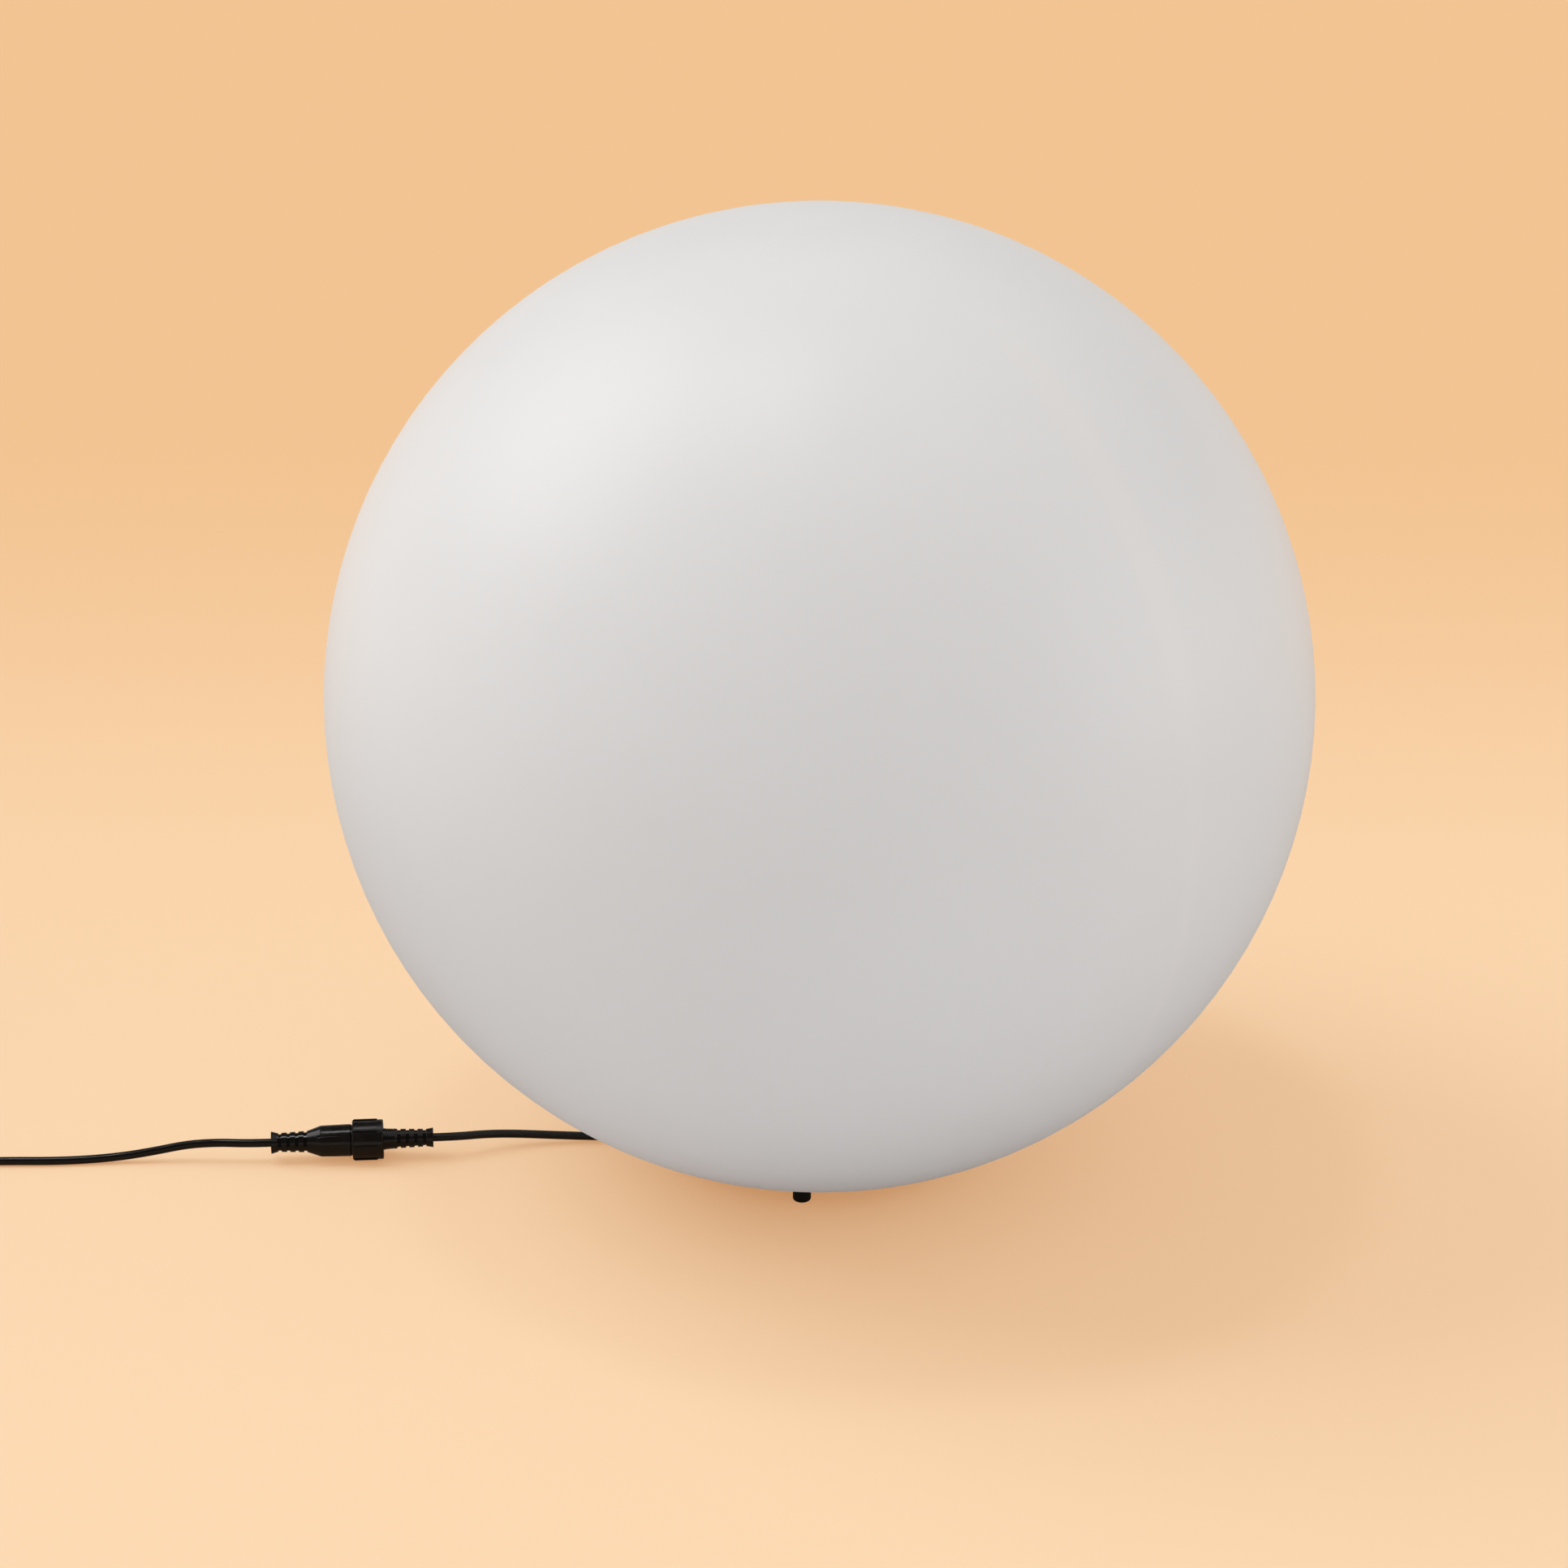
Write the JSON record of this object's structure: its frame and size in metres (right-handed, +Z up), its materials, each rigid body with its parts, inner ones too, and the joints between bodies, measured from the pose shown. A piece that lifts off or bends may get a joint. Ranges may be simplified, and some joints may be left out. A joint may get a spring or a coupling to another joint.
{
  "type": "garden globe light",
  "caption": "White globe garden light on small feet, with an inner lamp, a bayonet base and a low-voltage lead with a screw coupling.",
  "frame": {"origin": "on the floor, under the centre of the globe", "axes": "+Z up, -Y towards the picture's camera, -X along the lead"},
  "size_m": [0.6735, 0.4, 0.4],
  "materials": {
    "globe_white": "opal white rotation-moulded polyethylene, fine satin skin",
    "tray_black": "black moulded polypropylene, fine spark texture",
    "seal_rubber": "black EPDM",
    "foot_rubber": "black soft rubber",
    "gland_black": "black moulded polyamide",
    "lead_black": "glossy black PVC jacket",
    "coupling_black": "satin black PVC overmould",
    "nut_black": "satin black moulded nylon",
    "zinc_steel": "zinc-plated steel",
    "brass": "bright brass",
    "nickel": "nickel-plated brass",
    "holder_white": "white thermoplastic lampholder",
    "insert_ceramic": "off-white steatite",
    "wire_brown": "brown PVC insulation",
    "wire_blue": "blue PVC insulation",
    "lamp_white": "white lamp body",
    "lamp_opal": "opal polycarbonate dome",
    "insulator_black": "black vitrite",
    "board_aluminium": "white-coated aluminium board",
    "chip_yellow": "yellow phosphor",
    "supply_black": "black polycarbonate case, fine texture"
  },
  "bodies": {
    "base": {"base_tray": "tray_black", "seal_ring": "seal_rubber", "rubber_feet": "foot_rubber", "gland_gasket": "seal_rubber", "gland_body": "gland_black", "gland_seal": "seal_rubber", "gland_nut": "gland_black", "gland_locknut": "gland_black", "inner_lead": "lead_black", "wire_brown": "wire_brown", "wire_blue": "wire_blue", "holder_bridge": "zinc_steel", "bridge_screws": "zinc_steel", "nipple": "zinc_steel", "nipple_nut": "zinc_steel", "holder_cap": "holder_white", "holder_body": "holder_white", "holder_insert": "insert_ceramic", "holder_terminals": "brass", "holder_shell": "brass", "holder_tongue": "brass", "fixture_lead": "lead_black", "plug_overmould": "coupling_black", "plug_pins": "nickel", "sealing_ring": "seal_rubber"},
    "globe": {"globe_shell": "globe_white"},
    "lamp_tip": {"lamp_contact": "nickel", "lamp_insulator": "insulator_black"},
    "lamp": {"lamp_cap": "nickel", "lamp_body": "lamp_white", "lamp_dome": "lamp_opal", "led_board": "board_aluminium", "led_chips": "chip_yellow"},
    "coupling_nut": {"coupling_nut": "nut_black"},
    "supply": {"socket_overmould": "coupling_black", "socket_contacts": "brass", "supply_lead": "lead_black", "supply_coil": "lead_black", "supply_tail": "lead_black", "supply_boot": "coupling_black", "supply_front": "supply_black", "supply_back": "supply_black", "mains_pins": "nickel"}
  },
  "joints": [
    {"name": "globe_twist", "type": "hinge", "parent": "base", "child": "globe", "pos_m": [0, 0, 0.012], "axis": [0, 0, 1], "range_deg": [0, 26]},
    {"name": "lamp_rise", "type": "slide", "parent": "base", "child": "lamp_tip", "axis": [0, 0, 1], "range_m": [0, 0.0109]},
    {"name": "lamp_unscrew", "type": "hinge", "parent": "lamp_tip", "child": "lamp", "pos_m": [0, 0, 0.08], "axis": [0, 0, 1], "range_deg": [0, 1080]},
    {"name": "coupling_nut_turn", "type": "hinge", "parent": "base", "child": "coupling_nut", "pos_m": [-0.22843, -0.02423, 0.0083], "axis": [0.9967, 0.0807, 0], "range_deg": [0, 900]},
    {"name": "lead_unplug", "type": "slide", "parent": "base", "child": "supply", "axis": [-0.9967, -0.0807, 0], "range_m": [0, 0.016]}
  ],
  "couplings": [
    {"joint": "lamp_rise", "follows": "lamp_unscrew", "m_per_rad": 0.00057757}
  ]
}
